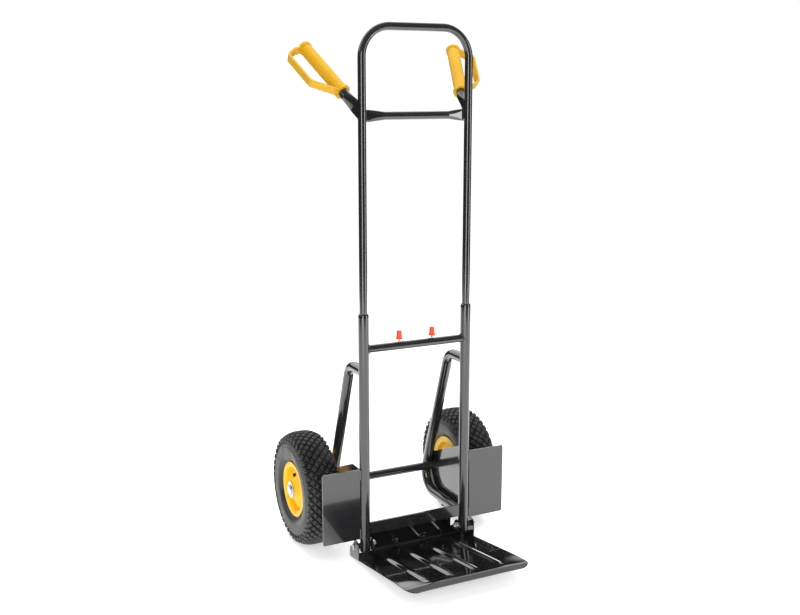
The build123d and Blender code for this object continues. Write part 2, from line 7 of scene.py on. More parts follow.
# %% The frame, and where each CAD node stands
import bmesh
import bpy
import numpy as np
from math import atan2, cos, pi, radians, tan
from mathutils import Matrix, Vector
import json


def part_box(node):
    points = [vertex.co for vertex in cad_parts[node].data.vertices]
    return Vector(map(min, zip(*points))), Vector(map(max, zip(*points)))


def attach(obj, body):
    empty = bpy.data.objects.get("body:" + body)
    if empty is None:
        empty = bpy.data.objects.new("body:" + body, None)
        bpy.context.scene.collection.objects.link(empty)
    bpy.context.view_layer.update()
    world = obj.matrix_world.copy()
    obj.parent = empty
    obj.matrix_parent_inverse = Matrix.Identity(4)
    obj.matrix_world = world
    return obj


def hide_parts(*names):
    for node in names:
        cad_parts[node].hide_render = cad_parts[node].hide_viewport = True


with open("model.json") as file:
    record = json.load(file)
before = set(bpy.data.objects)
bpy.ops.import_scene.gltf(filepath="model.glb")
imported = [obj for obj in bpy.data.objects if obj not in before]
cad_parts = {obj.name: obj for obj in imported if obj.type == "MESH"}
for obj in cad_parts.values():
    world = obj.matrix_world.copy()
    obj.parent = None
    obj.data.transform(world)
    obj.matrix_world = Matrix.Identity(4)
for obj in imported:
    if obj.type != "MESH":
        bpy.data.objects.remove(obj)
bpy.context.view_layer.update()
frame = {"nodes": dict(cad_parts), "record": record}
SIDES = (("left", -1.0), ("right", 1.0))
MM = 0.001


def box(node):
    """Lowest corner, highest corner and middle of a CAD node, as arrays in metres."""
    low, high = (np.array(corner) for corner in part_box(node))
    return low, high, (low + high) / 2


# %% [markdown]
# ## Shader maths
# A material is a small program. Wrapping a socket in a class with + - * lets its formula be read
# as a line of Python, while each operator adds one Math node to the tree.

# %% A wire is one value in a shader, a bench is one material under construction


class Wire:
    """A value that flows through a shader; arithmetic on it adds Math nodes."""

    def __init__(self, bench, socket):
        self.bench, self.socket = bench, socket

    def maths(self, operation, *others, first=True):
        """The result of one Math node, with this value first or last."""
        order = (self, *others) if first else (*others, self)
        return self.bench.node("Math", {"operation": operation}, dict(enumerate(order)))[0]

    def __add__(self, other): return self.maths("ADD", other)
    def __radd__(self, other): return self.maths("ADD", other)
    def __sub__(self, other): return self.maths("SUBTRACT", other)
    def __rsub__(self, other): return self.maths("SUBTRACT", other, first=False)
    def __mul__(self, other): return self.maths("MULTIPLY", other)
    def __rmul__(self, other): return self.maths("MULTIPLY", other)

    def ramp(self, low, high, to_low=0.0, to_high=1.0):
        """Smooth step from to_low to to_high while the value goes from low to high."""
        return self.bench.node("MapRange", {"interpolation_type": "SMOOTHSTEP"},
                               {0: self, 1: low, 2: high, 3: to_low, 4: to_high})[0]


class Bench:
    """Builds one material, or the world: a closing shader and the nodes that feed it."""

    def __init__(self, name, world=False):
        made = (bpy.data.worlds if world else bpy.data.materials).new(name)
        self.material = made
        made.use_nodes = True
        self.tree = made.node_tree
        self.tree.nodes.clear()
        output = self.tree.nodes.new("ShaderNodeOutput" + ("World" if world else "Material"))
        closing = "ShaderNode" + ("Background" if world else "BsdfPrincipled")
        self.shader = self.tree.nodes.new(closing)
        self.tree.links.new(self.shader.outputs[0], output.inputs[0])
        self.place = self.node("TexCoord")["Generated" if world else "Object"]

    def node(self, kind, settings=None, values=None):
        """Adds a node, sets it up, feeds its sockets, and returns its outputs as wires."""
        made = self.tree.nodes.new("ShaderNode" + kind)
        for key, value in (settings or {}).items():
            setattr(made, key, value)
        for key, value in (values or {}).items():
            self.feed(made.inputs[key], value)
        wires = {i: Wire(self, s) for i, s in enumerate(made.outputs)}
        wires.update({s.name: Wire(self, s) for s in made.outputs if s.enabled})
        return wires

    def feed(self, socket, value):
        """Links a wire to a socket, or sets the socket to a constant."""
        if isinstance(value, Wire):
            self.tree.links.new(value.socket, socket)
        else:
            socket.default_value = value

    def set(self, **values):
        """Feeds the Principled shader: Base_Color=..., Roughness=... and so on."""
        for key, value in values.items():
            if key == "Base_Color" and not isinstance(value, Wire):
                value = (*value, 1.0)
            self.feed(self.shader.inputs[key.replace("_", " ")], value)

    def noise(self, size, detail=2.0, roughness=0.5):
        """Soft noise between 0 and 1, with features about size metres across."""
        return self.node("TexNoise", {}, {"Vector": self.place, "Scale": 1.0 / size,
                                          "Detail": detail, "Roughness": roughness})[0]

    def blend(self, share, first, second):
        """A colour that goes from first to second as share goes from 0 to 1."""
        made = self.tree.nodes.new("ShaderNodeMix")
        made.data_type = "RGBA"
        sockets = {s.identifier: s for s in made.inputs}
        for key, value in (("Factor_Float", share), ("A_Color", first), ("B_Color", second)):
            if not isinstance(value, (Wire, float)):
                value = (*value, 1.0)
            self.feed(sockets[key], value)
        return Wire(self, [s for s in made.outputs if s.identifier == "Result_Color"][0])

    def bump(self, height, depth):
        """Normal that follows a height between 0 and 1, depth metres deep."""
        values = {"Height": height, "Distance": depth, "Strength": 1.0}
        return self.node("Bump", {}, values)["Normal"]


def srgb(r, g, b):
    """Screen colour, 0 to 255, as the linear colour that a shader takes."""
    c = np.array((r, g, b)) / 255.0
    return tuple(np.where(c <= 0.04045, c / 12.92, ((c + 0.055) / 1.055) ** 2.4).tolist())


# %% [markdown]
# ## Finishes
# Powder coat is a skin of melted paint grains: it has a fine orange peel, seen only where a light
# is mirrored in it. So its colour is nearly even, and the peel is a very shallow bump whose waves
# are about a centimetre long.

# %% Powder coats of the tubes and of the toe plate


def powder_coat(name, tint, dust_tint, gloss, peel):
    """Paint under a clear coat; gloss is its least roughness and peel the depth of its waves."""
    bench = Bench(name)
    wave = bench.noise(9 * MM, 1.0)
    cloud = bench.noise(60 * MM, 4.0)
    bench.set(Base_Color=bench.blend(cloud.ramp(0.45, 0.8) * 0.5, tint, dust_tint),
              Roughness=cloud.ramp(0.3, 0.7, gloss, gloss + 0.05),
              Coat_Weight=1.0, Coat_Roughness=gloss / 2, Coat_IOR=1.55, IOR=1.5,
              Normal=bench.bump(wave, peel))
    return bench.material


tube_paint = powder_coat("anthracite_powder_coat", srgb(30, 31, 32), srgb(40, 41, 42),
                         0.13, 0.02 * MM)
plate_paint = powder_coat("black_powder_coat", srgb(17, 17, 18), srgb(24, 24, 25),
                          0.08, 0.02 * MM)

# %% [markdown]
# The grips are soft vinyl, and the rims and knobs are moulded plastic. All have a slight shrinkage
# wave, and their colour drifts between two shades over a few centimetres. On the rims the deeper
# orange shade is painted shade of the dish, spread as a mottle.

# %% Moulded plastics


def moulded(name, tint, shade, gloss, wave_size, wave_depth):
    """Plastic between two shades; gloss is its least roughness."""
    bench = Bench(name)
    cloud = bench.noise(28 * MM, 3.0)
    wave = bench.noise(wave_size, 1.0)
    bench.set(Base_Color=bench.blend(cloud.ramp(0.35, 0.75, 0.0, 0.55), tint, shade),
              Roughness=cloud.ramp(0.3, 0.7, gloss, gloss + 0.08),
              Normal=bench.bump(wave, wave_depth))
    return bench.material


grip_vinyl = moulded("yellow_grip_vinyl", srgb(206, 158, 8), srgb(196, 146, 6), 0.50,
                     5.4 * MM, 0.012 * MM)
# The rims' deeper orange second colour is painted shade: it stands in for the shadow in the dish,
# spread over the whole rim as a noise mottle.
rim_plastic = moulded("yellow_rim_plastic", srgb(252, 200, 4), srgb(246, 160, 4), 0.42,
                      9.6 * MM, 0.02 * MM)
knob_plastic = moulded("orange_red_plastic", srgb(224, 74, 34), srgb(206, 58, 28), 0.35,
                       4.8 * MM, 0.02 * MM)
black_plastic = moulded("black_plastic", srgb(26, 26, 27), srgb(38, 38, 39), 0.46,
                        4.2 * MM, 0.02 * MM)

# %% [markdown]
# Tyre rubber is dark and dull, with a bloom that turns it slightly brown-grey where it has been
# touched. The bloom is a noise, and a finer noise breaks its sheen.

# %% Rubber


def rubber(name, tint, bloom_tint):
    """Dull rubber that goes from tint to bloom_tint where the bloom lies."""
    bench = Bench(name)
    bloom = bench.noise(22 * MM, 5.0, 0.6)
    grain = bench.noise(4 * MM, 3.0)
    bench.set(Base_Color=bench.blend(bloom.ramp(0.38, 0.72), tint, bloom_tint),
              Roughness=bloom.ramp(0.3, 0.8, 0.34, 0.56), Specular_IOR_Level=0.6,
              Normal=bench.bump(grain, 0.06 * MM))
    return bench.material


tyre_rubber = rubber("tyre_rubber", srgb(21, 21, 23), srgb(47, 46, 44))

# %% [markdown]
# Zinc plating is bright with a faint blue cast and a cloudy spangle. Brass and spring steel differ
# from it in colour, gloss and wear.

# %% Bright metals


def plated(name, tint, shade, gloss, wear):
    """Metal between two shades; wear is how much duller than gloss its cloudy parts are."""
    bench = Bench(name)
    cloud = bench.noise(5 * MM, 4.0)
    scratch = bench.noise(0.5 * MM, 2.0)
    bench.set(Base_Color=bench.blend(cloud.ramp(0.35, 0.7), tint, shade), Metallic=1.0,
              Roughness=cloud.ramp(0.3, 0.75, gloss, gloss + wear),
              Normal=bench.bump(scratch, 0.02 * MM))
    return bench.material


zinc = plated("bright_zinc", srgb(222, 226, 228), srgb(184, 190, 194), 0.30, 0.14)
brass = plated("drawn_brass", srgb(214, 176, 104), srgb(188, 146, 78), 0.26, 0.12)
spring_steel = plated("spring_steel", srgb(150, 152, 156), srgb(118, 120, 124), 0.30, 0.12)

# %% Every CAD node that keeps its own shape gets the finish of its kind
FINISH_BY_SLOT = {"frame_paint": tube_paint, "plate_paint": plate_paint, "grip": grip_vinyl,
                  "rim": rim_plastic, "tyre": tyre_rubber, "tube_rubber": tyre_rubber,
                  "knob": knob_plastic, "brass": brass, "black_plastic": black_plastic, "zinc": zinc}
for entry in frame["record"]["subparts"]:
    mesh = frame["nodes"][entry["node"]].data
    mesh.materials.clear()
    mesh.materials.append(FINISH_BY_SLOT[entry["material_slot"]])

# %% [markdown]
# ## Surfaces
# Every new piece starts as a grid of points, worked out in one go with numpy. A grid can be
# wrapped round in either direction, and its ends can be closed with a flat face.

# %% From grids of points to a mesh object


class Clay:
    """Gathers grids of points and flat outlines, and makes one mesh object of them."""

    def __init__(self):
        self.points, self.faces, self.count = [], [], 0

    def grid(self, grid, wrap_rows=False, wrap_columns=True, cap=(True, True)):
        """Faces over points of shape (rows, columns, 3).

        Face (i, j) joins points (i, j), (i, j+1), (i+1, j+1) and (i+1, j); indices wrap where
        asked. cap closes the first and the last row with one flat face each.
        """
        rows, columns = grid.shape[:2]
        index = np.arange(rows * columns).reshape(rows, columns) + self.count
        near = index if wrap_rows else index[:-1]
        far = np.roll(index, -1, 0) if wrap_rows else index[1:]
        near_next, far_next = np.roll(near, -1, 1), np.roll(far, -1, 1)
        if not wrap_columns:
            near, far, near_next, far_next = (a[:, :-1] for a in (near, far, near_next, far_next))
        self.faces += np.stack([near, near_next, far_next, far], -1).reshape(-1, 4).tolist()
        if wrap_columns and not wrap_rows:
            self.faces += [index[0][::-1].tolist()] * cap[0] + [index[-1].tolist()] * cap[1]
        self.points.append(grid.reshape(-1, 3))
        self.count += rows * columns
        return self

    def slab(self, outline, depth, edge=0.5 * MM):
        """A plate: an outline of points, carried along depth, with edges eased by edge."""
        outline, depth = np.array(outline, float), np.array(depth, float)
        way = depth / np.linalg.norm(depth)
        ahead = np.roll(outline, -1, 0) - np.roll(outline, 1, 0)
        inward = np.cross(way, ahead)
        inward *= edge / np.linalg.norm(inward, axis=1)[:, None]
        if ((outline.mean(0) - outline) * inward).sum() < 0:
            inward = -inward
        near, far = outline, outline + depth
        rows = [near + inward, near + way * edge, far - way * edge, far + inward]
        return self.grid(np.array(rows))

    def made(self, name, finish, sharp=40.0):
        """The object, smooth shaded, with edges over sharp degrees kept sharp."""
        mesh = bpy.data.meshes.new(name)
        mesh.from_pydata(np.concatenate(self.points).tolist(), [], self.faces)
        mesh.update()
        bm = bmesh.new()
        bm.from_mesh(mesh)
        bmesh.ops.recalc_face_normals(bm, faces=bm.faces)
        bm.to_mesh(mesh)
        bm.free()
        mesh.shade_smooth()
        mesh.set_sharp_from_angle(angle=radians(sharp))
        mesh.materials.append(finish)
        piece = bpy.data.objects.new(name, mesh)
        bpy.context.scene.collection.objects.link(piece)
        return piece


def stand_for(piece, body, *nodes, slot=None):
    """The piece rides on a CAD body, and stands for the named CAD nodes."""
    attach(piece, body)
    if nodes:
        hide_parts(*nodes)
    print("piece", piece.name, "with", len(piece.data.polygons), "faces rides on", body)


# %% [markdown]
# A tube is a section carried along a path. The truck's bends all lie in a plane, so the section's
# frame needs no twisting: one side of it is the plane's normal all the way along.

# %% A path of straight runs and round bends, and a tube carried along it


def bent_path(corners, radii, step=4 * MM, angle_step=4.0):
    """Points and directions along a polyline whose inner corners are rounded.

    At a corner the two runs turn by t; an arc of radius r starts r tan(t/2) before it, and its
    points are centre + r (start cos a + direction sin a).
    """
    corners = np.array(corners, float)
    runs = np.diff(corners, axis=0)
    lengths = np.linalg.norm(runs, axis=1)
    ways = runs / lengths[:, None]
    points, directions = [], []
    start = corners[0]
    for k, radius in enumerate(radii):
        turn = np.arccos(np.clip(ways[k] @ ways[k + 1], -1, 1))
        reach = radius * tan(turn / 2)
        stop = corners[k + 1] - ways[k] * reach
        count = max(int(np.linalg.norm(stop - start) / step), 2)
        share = np.linspace(0, 1, count, endpoint=False)[:, None]
        points.append(start + (stop - start) * share)
        directions.append(np.repeat(ways[k][None], count, 0))
        inward = ways[k + 1] - ways[k] * cos(turn)
        inward /= np.linalg.norm(inward)
        count = max(int(np.degrees(turn) / angle_step), 2)
        a = np.linspace(0, turn, count, endpoint=False)[:, None]
        points.append(stop + radius * (ways[k] * np.sin(a) + inward * (1 - np.cos(a))))
        directions.append(ways[k] * np.cos(a) + inward * np.sin(a))
        start = corners[k + 1] + ways[k + 1] * reach
    count = max(int(np.linalg.norm(corners[-1] - start) / step), 2)
    share = np.linspace(0, 1, count)[:, None]
    points.append(start + (corners[-1] - start) * share)
    directions.append(np.repeat(ways[-1][None], count, 0))
    return np.concatenate(points), np.concatenate(directions)


def tube_grid(points, directions, normal, across, along, sides=48):
    """Grid of a tube: point + across cos v side + along sin v normal.

    across and along are the section's half sizes, one number or one for each point of the path.
    """
    v = np.linspace(0, 2 * pi, sides, endpoint=False)
    c, s = np.cos(v)[:, None], np.sin(v)[:, None]
    normal = np.broadcast_to(np.array(normal, float), points.shape)
    side = np.cross(directions, normal)
    side /= np.linalg.norm(side, axis=1)[:, None]
    across = np.broadcast_to(across, len(points))[:, None, None]
    along = np.broadcast_to(along, len(points))[:, None, None]
    return points[:, None] + across * side[:, None] * c + along * normal[:, None] * s


def turned(profile, centre, axis, sides=64):
    """Grid of a surface of revolution: profile rows are (distance along the axis, radius).

    point = centre + along axis + radius (cos v first + sin v second)
    """
    profile, axis = np.array(profile, float), np.array(axis, float)
    first = np.array((0.0, 0.0, 1.0)) if abs(axis[2]) < 0.9 else np.array((1.0, 0.0, 0.0))
    second = np.cross(axis, first)
    v = np.linspace(0, 2 * pi, sides, endpoint=False)
    spoke = np.cos(v)[:, None] * first + np.sin(v)[:, None] * second
    lengthwise = np.array(centre) + profile[:, 0, None, None] * axis
    return lengthwise + profile[:, 1, None, None] * spoke[None]


def fade(distance, length):
    """0 at distance 0, 1 from length on, smooth between."""
    share = np.clip(distance / length, 0, 1)
    return share * share * (3 - 2 * share)


def rounded_profile(points, radius, steps=5):
    """Polyline of (along, radius) rows with every inner corner rounded off."""
    points = np.array(points, float)
    before, here, after = points[:-2], points[1:-1], points[2:]
    back, ahead = before - here, after - here
    reach_back = np.linalg.norm(back, axis=1, keepdims=True)
    reach_ahead = np.linalg.norm(ahead, axis=1, keepdims=True)
    cut = np.minimum(radius, 0.45 * np.minimum(reach_back, reach_ahead))
    start, stop = here + back / reach_back * cut, here + ahead / reach_ahead * cut
    t = np.linspace(0, 1, steps)[None, :, None]
    arcs = (1 - t) ** 2 * start[:, None] + 2 * t * (1 - t) * here[:, None] + t ** 2 * stop[:, None]
    return np.concatenate([points[:1], arcs.reshape(-1, 2), points[-1:]])


# %% [markdown]
# ## Uprights and hoop
# The uprights are straight tubes whose tops are swaged in round the hoop's legs. The hoop is one
# thinner tube with two bends.

# %% Sizes of the tubes, read from the frame
low, high, middle = box("left_frame_tube")
TUBE_X, TUBE_Y = -middle[0], middle[1]
TUBE_R = (high[1] - low[1]) / 2
TUBE_FOOT, TUBE_TOP = low[2], high[2]
low, high, middle = box("handle_hoop")
HOOP_R = (high[1] - low[1]) / 2
HOOP_FOOT, HOOP_TOP = low[2], high[2] - HOOP_R
HOOP_BEND = 62 * MM
print("upright radius", TUBE_R, "hoop radius", HOOP_R, "uprights at x", TUBE_X)

# %% The two uprights
NECK, SWAGE, LEG_GAP, FOOT_EASE = 8 * MM, 2.6 * MM, 0.3 * MM, 0.5 * MM
for side, s in SIDES:
    t = np.linspace(0, pi / 2, 8)
    neck = np.stack([TUBE_TOP - NECK + NECK * np.sin(t), TUBE_R - SWAGE * (1 - np.cos(t))], 1)
    foot = [(TUBE_FOOT, TUBE_R - FOOT_EASE), (TUBE_FOOT + FOOT_EASE, TUBE_R)]
    mouth = [(TUBE_TOP - 0.2 * MM, HOOP_R + LEG_GAP), (TUBE_TOP - NECK, HOOP_R + LEG_GAP)]
    profile = np.concatenate([foot, neck, mouth])
    upright = Clay().grid(turned(profile, (s * TUBE_X, TUBE_Y, 0), (0, 0, 1)))
    stand_for(upright.made(f"{side}_upright", tube_paint), "lower_frame", f"{side}_frame_tube",
              slot="frame_paint")

# %% The hoop
corners = [(-TUBE_X, TUBE_Y, HOOP_FOOT), (-TUBE_X, TUBE_Y, HOOP_TOP),
           (TUBE_X, TUBE_Y, HOOP_TOP), (TUBE_X, TUBE_Y, HOOP_FOOT)]
points, ways = bent_path(corners, (HOOP_BEND, HOOP_BEND), 12 * MM, 3.0)
# A bent tube goes slightly oval: it loses a little in the plane of the bend.
OVAL = 0.06
turning = 2 * np.abs(ways[:, 0] * ways[:, 2])
grid = tube_grid(points, ways, (0, 1, 0), HOOP_R * (1 - OVAL * turning), HOOP_R)
stand_for(Clay().grid(grid).made("hoop", tube_paint), "hoop", "handle_hoop", slot="frame_paint")

# %% [markdown]
# ## Weld beads
# Where a bar meets an upright, a bead of weld runs round the saddle between the two. It is laid in
# small puddles, so its thickness and its ripple follow a sine with a little noise of its own.

# %% Beads round the saddles of the bars
dice = np.random.default_rng(7)
RIPPLE, UNEVEN, BEAD_POINTS = 0.16, 0.12, 96


def weld(clay, centre, bar_r, s, bead=1.9 * MM, puddles=16):
    """Bead round a bar along X that meets an upright: x = s (TUBE_X - sqrt(R^2 - y^2))."""
    v = np.linspace(0, 2 * pi, BEAD_POINTS, endpoint=False)
    ring = bar_r * np.stack([np.cos(v), np.sin(v)], 1)
    depth = np.sqrt(TUBE_R ** 2 - np.minimum(ring[:, 0] ** 2, 0.98 * TUBE_R ** 2))
    line = np.stack([centre[0] - s * depth, centre[1] + ring[:, 0], centre[2] + ring[:, 1]], 1)
    size = bead * (1 + RIPPLE * np.sin(v * puddles) + UNEVEN * dice.standard_normal(BEAD_POINTS))
    way = np.roll(line, -1, 0) - np.roll(line, 1, 0)
    way /= np.linalg.norm(way, axis=1)[:, None]
    out = np.stack([0 * v, np.cos(v), np.sin(v)], 1)
    clay.grid(tube_grid(line, way, out, size, size, 10), wrap_rows=True)


mid_low, mid_high, mid_middle = box("mid_crossbar")
MID_R = (mid_high[2] - mid_low[2]) / 2
beads = Clay()
for side, s in SIDES:
    weld(beads, (s * TUBE_X, TUBE_Y, mid_middle[2]), MID_R, s)
stand_for(beads.made("mid_bar_welds", tube_paint, 60), "lower_frame")

# %% [markdown]
# ## Tyres
# The tread is a lattice of diamond blocks between two families of slanted grooves. With u round
# the tyre and v across it, both counted in blocks, the grooves lie where u + v and u - v are whole
# numbers. The grid has fourteen points to a block both ways, so every groove runs along the
# diagonals of the mesh and has clean walls. A block is there or not as a whole, and that gives the
# tread its saw-toothed border on the sidewall.

# %% Tyres with their tread
BLOCKS_ROUND, PER_BLOCK, TREAD_ROWS = 42, 14, 3.0
BLOCK_ACROSS, GROOVE = 19.0 * MM, 4.6 * MM
RING_RADII, RING_HIGH, RING_WIDE = (76, 79, 96), 0.7 * MM, 1.1 * MM


def arc_through(a, b, c, count):
    """Points on the circle through a, b and c, from a to c."""
    a, b, c = (np.array(p, float) for p in (a, b, c))
    d = 2 * (a[0] * (b[1] - c[1]) + b[0] * (c[1] - a[1]) + c[0] * (a[1] - b[1]))
    sq = [p @ p for p in (a, b, c)]
    centre = np.array([(sq[0] * (b[1] - c[1]) + sq[1] * (c[1] - a[1]) + sq[2] * (a[1] - b[1])) / d,
                       (sq[0] * (c[0] - b[0]) + sq[1] * (a[0] - c[0]) + sq[2] * (b[0] - a[0])) / d])
    start, mid, stop = (atan2(*(p - centre)[::-1]) for p in (a, b, c))
    mid = start + (mid - start + pi) % (2 * pi) - pi
    stop = mid + (stop - mid + pi) % (2 * pi) - pi
    t = np.linspace(start, stop, count)
    return centre + np.linalg.norm(a - centre) * np.stack([np.cos(t), np.sin(t)], 1)


def tyre_profile(radius, half):
    """Right half of the section, from the crown to the bead: rows of (across, radius)."""
    shoulder, waist = (0.86 * half, radius - 9 * MM), (half, radius - 32 * MM)
    side, lip = (36.5 * MM, 71.2 * MM), (31.1 * MM, 65.0 * MM)
    crown = arc_through((0, radius), (0.5 * half, radius - 2.2 * MM), shoulder, 60)
    crown[:, 1] = np.minimum(crown[:, 1], radius)
    wall = arc_through(shoulder, waist, side, 90)
    return np.concatenate([crown, wall[1:], [lip, (lip[0], 52 * MM)]])


def along(profile):
    """Arc length at each point of a polyline."""
    return np.concatenate([[0], np.cumsum(np.linalg.norm(np.diff(profile, axis=0), axis=1))])


for side, s in SIDES:
    low, high, middle = box(f"{side}_tyre")
    radius, half = (high[2] - low[2]) / 2, (high[0] - low[0]) / 2
    right = tyre_profile(radius, half)
    reach = along(right)
    step = BLOCK_ACROSS / PER_BLOCK
    tread_end = (TREAD_ROWS + 0.5) * BLOCK_ACROSS
    stations = np.concatenate([np.arange(0, tread_end + step / 2, step),
                               np.linspace(tread_end + 2 * MM, reach[-1], 24)])
    section = np.stack([np.interp(stations, reach, right[:, k]) for k in (0, 1)], 1)
    section = np.concatenate([section[:0:-1] * (-1, 1), section])
    v = np.concatenate([-stations[:0:-1], stations]) / BLOCK_ACROSS
    u = np.arange(BLOCKS_ROUND * PER_BLOCK) / PER_BLOCK
    across, round_ = np.meshgrid(v, u, indexing="ij")
    first, second = round_ + across, round_ - across
    block_row = np.abs(np.floor(first + 1e-6) - np.floor(second + 1e-6)) / 2
    wall_gap = np.minimum(np.abs(first - np.round(first)), np.abs(second - np.round(second)))
    block = np.clip((wall_gap - 0.08) / 0.09, 0, 1) * (block_row < TREAD_ROWS)
    # A small sipe in the middle of each block, and a tread that is shallower at the shoulder.
    sipe = (np.abs(wall_gap - 0.5) < 0.05) * (block_row < 2.0) * 0.5
    depth = GROOVE * np.interp(np.abs(across), (0, 2, 3, 4.2), (1, 0.9, 0.6, 0.0))
    sink = depth * (1 - block + sipe * block)
    # Three fine rings stand up from the sidewall.
    from_ring = [(section[:, 1] - r * MM) / RING_WIDE for r in RING_RADII]
    rings = sum(RING_HIGH * np.exp(-gap ** 2) for gap in from_ring)
    gradient = np.gradient(section, axis=0)
    normal = np.stack([-gradient[:, 1], gradient[:, 0]], 1)
    normal /= np.linalg.norm(normal, axis=1)[:, None]
    normal *= np.where((normal * (section - (0, 91 * MM))).sum(1) < 0, -1, 1)[:, None]
    offset = (rings - RING_HIGH * (rings > 0))[:, None] - sink
    x = section[:, 0, None] + normal[:, 0, None] * offset
    r = section[:, 1, None] + normal[:, 1, None] * offset
    turn = u * 2 * pi / BLOCKS_ROUND
    grid = np.stack([middle[0] + x, middle[1] + r * np.cos(turn), middle[2] + r * np.sin(turn)], -1)
    tyre = Clay().grid(grid, wrap_rows=True).made(f"{side}_tyre_tread", tyre_rubber, 50)
    stand_for(tyre, f"{side}_wheel", f"{side}_tyre", slot="tyre")

# %% [markdown]
# ## Rims
# Each wheel has two moulded halves. Seen from outside, the dish rises as a cone from the bead seat
# to the hub, stiffened by shallow radial waves, inside a rounded flange.

# %% The dish of the outer rim half
BORE_R, RECESS_R, RECESS_DEEP = 9.9 * MM, 15.2 * MM, 2 * MM
RIM_SIDES, WAVES, WAVE_HIGH = 96, 8, 1.1 * MM
for side, s in SIDES:
    low, high, middle = box(f"{side}_rim_outer")
    tyre_middle = box(f"{side}_tyre")[2]
    face = (high[0] if s > 0 else -low[0]) - abs(tyre_middle[0])
    flange = (high[2] - low[2]) / 2
    seat = face - 3.7 * MM
    behind = [(0, RECESS_R), (0, 49 * MM), (seat - 2 * MM, 50.5 * MM),
              (seat - 2 * MM, flange - 1.2 * MM), (seat - 0.3 * MM, flange)]
    dish = [(seat, flange - 2 * MM), (seat, 54 * MM), (19 * MM, 50 * MM), (21.5 * MM, 44 * MM),
            (face - 4 * MM, 20 * MM), (face, 17 * MM)]
    bore = [(face, BORE_R), (RECESS_DEEP, BORE_R), (RECESS_DEEP, RECESS_R)]
    profile = rounded_profile(behind + dish + bore, 1.6 * MM)
    grid = turned(profile, (tyre_middle[0], middle[1], middle[2]), (s, 0, 0), RIM_SIDES)
    radius = profile[:, 1]
    on_dish = fade(radius - 19 * MM, 8 * MM) * fade(47 * MM - radius, 6 * MM)
    on_dish *= profile[:, 0] > 20 * MM
    spokes = np.linspace(0, 2 * pi, RIM_SIDES, endpoint=False) * WAVES
    grid[..., 0] += s * WAVE_HIGH * on_dish[:, None] * np.cos(spokes)
    rim = Clay().grid(grid, wrap_rows=True).made(f"{side}_rim_dish", rim_plastic, 50)
    stand_for(rim, f"{side}_wheel", f"{side}_rim_outer", slot="rim")

# %% [markdown]
# ## Catch springs
# Each catch pin has a coil spring behind its collar. It is drawn as short as it is with the knob
# pulled, so the collar never runs into it: p = (x, R cos a, R sin a) with x growing evenly.

# %% The two coil springs, inside the middle crossbar
TRAVEL, WIRE_R, COILS = 8.4 * MM, 0.4 * MM, 7
for side, s in SIDES:
    low, high, middle = box(f"{side}_catch_spring")
    ends = sorted((low[0], high[0]), key=abs)
    turn = np.linspace(0, 2 * pi * COILS, 24 * COILS)
    spoke = np.stack([0 * turn, np.cos(turn), np.sin(turn)], 1)
    middle[0] = 0
    coil = middle + spoke * ((high[2] - low[2]) / 2 - WIRE_R)
    coil[:, 0] = np.linspace(ends[0] + s * WIRE_R, ends[1] - s * (TRAVEL + WIRE_R), len(turn))
    v = np.linspace(0, 2 * pi, 8, endpoint=False)
    ring = np.cos(v)[:, None] * spoke[:, None] + np.sin(v)[:, None] * np.array((1.0, 0, 0))
    spring = Clay().grid(coil[:, None] + WIRE_R * ring)
    stand_for(spring.made(f"{side}_catch_coil", spring_steel, 60), "lower_frame",
              f"{side}_catch_spring", slot="zinc")

# %% [markdown]
# ## Toe plate
# One sheet of steel: four ribs pressed up into it, the front edge rolled down, the heel turned up
# as a flange between the ears. Its section is a path with a soft bend, and the ribs are smooth
# ridges, with a height of H cos(a)^1.2 across them, that fade out at both ends.

# %% Toe plate
low, high, middle = box("toe_plate")
RISE, SHEET = radians(8.6), 2.5 * MM
PLATE_HALF, HEEL_Y, FRONT_Y = high[0], high[1], low[1]
CORNER, LIP_RUN, LIP_DROP = 22 * MM, 13 * MM, 5.5 * MM
RIBS, RIB_HALF, RIB_HIGH = (-88 * MM, -29.3 * MM, 29.3 * MM, 88 * MM), 8.5 * MM, 2.5 * MM
SKIN = SHEET / cos(RISE)
FLANGE_TOP, FLANGE_HALF = 46 * MM, 109 * MM


def sheet(clay, top, thick):
    """A closed sheet: a grid for its top and the same grid, thick lower along its normals."""
    rows = np.gradient(top, axis=0)
    columns = np.gradient(top, axis=1)
    normal = np.cross(columns, rows)
    normal /= np.linalg.norm(normal, axis=2)[..., None]
    under = top - thick * normal
    section = np.concatenate([top, under[:, ::-1]], 1)
    clay.grid(section, cap=(False, False))
    for end in (0, -1):
        clay.grid(np.stack([top[end], under[end]]), wrap_columns=False)


crease_y = FRONT_Y + LIP_RUN
crease_z = (HEEL_Y - crease_y) * tan(RISE)
path, ways = bent_path([(0, HEEL_Y, SKIN), (0, crease_y, crease_z + SKIN),
                        (0, FRONT_Y, crease_z - LIP_DROP + SKIN)], (14 * MM,), 2.6 * MM, 3.0)
run = along(path)
# Rows stand close together where the corners round in: inset = c (1 - cos a) at c (1 - sin a).
a = np.linspace(0, pi / 2, 24)
rows = np.concatenate([run[run < run[-1] - CORNER - MM], run[-1] - CORNER * (1 - np.sin(a))])
path, ways = (np.stack([np.interp(rows, run, column) for column in rail.T], 1)
              for rail in (path, ways))
run = rows
up = np.cross(ways, (1.0, 0, 0))
up *= np.sign(up[:, 2])[:, None]
inset = CORNER - np.sqrt(np.maximum(CORNER ** 2 - np.maximum(CORNER - (run[-1] - run), 0) ** 2, 0))
edge = 1 - np.array([0, 0.0016, 0.0045, 0.009])
across = np.concatenate([-edge, np.linspace(-0.98, 0.98, 190), edge[::-1]])
x = (PLATE_HALF - inset)[:, None] * across
ribs = sum(np.where(np.abs(x - r) < RIB_HALF,
                    np.cos(np.clip((x - r) / RIB_HALF, -1, 1) * pi / 2) ** 1.2, 0) for r in RIBS)
ribs *= (fade(run - 10 * MM, 16 * MM) * fade(run[-1] - 27 * MM - run, 22 * MM))[:, None]
